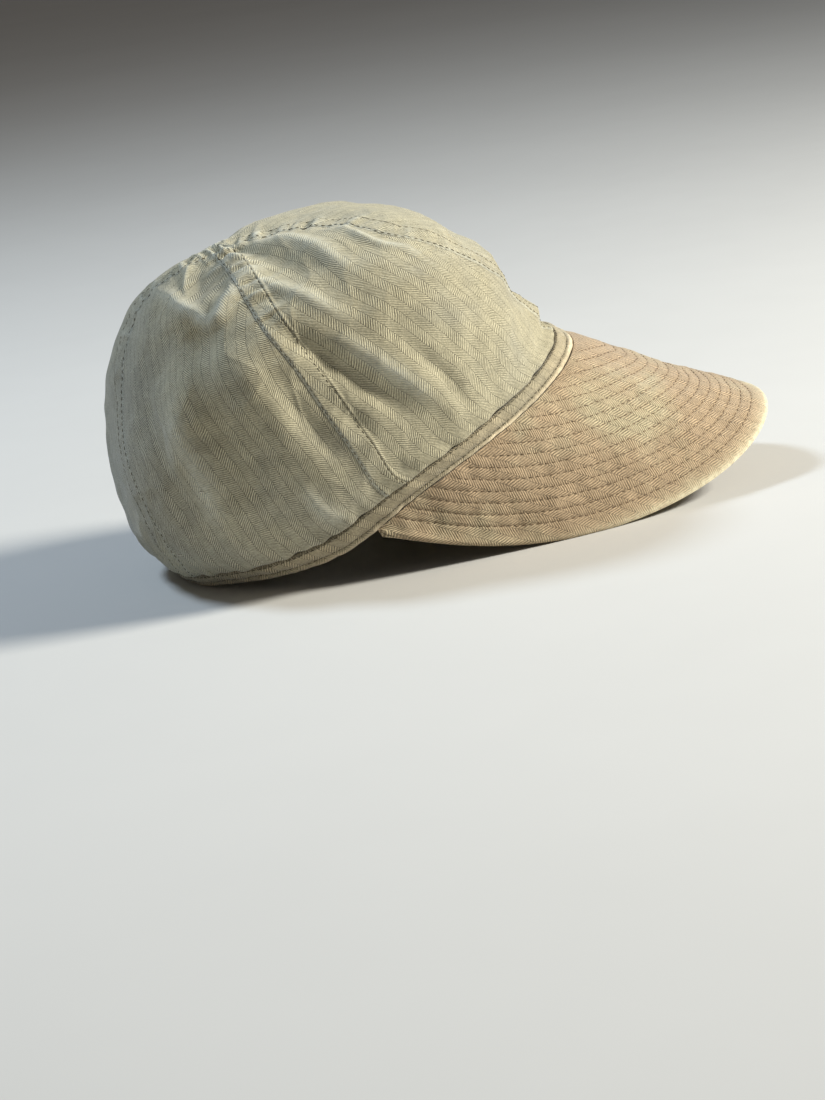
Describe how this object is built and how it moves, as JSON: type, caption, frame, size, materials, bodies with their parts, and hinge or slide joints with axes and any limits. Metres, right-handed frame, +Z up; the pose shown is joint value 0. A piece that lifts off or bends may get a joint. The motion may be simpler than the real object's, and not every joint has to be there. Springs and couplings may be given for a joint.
{
  "type": "fatigue cap",
  "caption": "Soft four-panel work cap in faded herringbone cotton with felled seams, a stitched band and a long curved visor with rows of stitching.",
  "frame": {"origin": "on the surface the cap rests on, under the middle of its bounding box", "axes": "+Z up, the visor towards -Y, the wearer's right side towards -X"},
  "size_m": [0.1682, 0.2968, 0.1492],
  "materials": {
    "crown_cloth": "faded sage green herringbone cotton, washed soft",
    "band_cloth": "folded herringbone cotton, darker, with a worn pale edge",
    "visor_cloth": "sun-browned herringbone cotton, quilted, with a worn pale edge"
  },
  "bodies": {
    "root": {"crown_front_right": "crown_cloth", "crown_front_left": "crown_cloth", "crown_back_right": "crown_cloth", "crown_back_left": "crown_cloth", "rim_band": "band_cloth", "visor_top": "visor_cloth", "visor_under": "visor_cloth"}
  },
  "joints": []
}
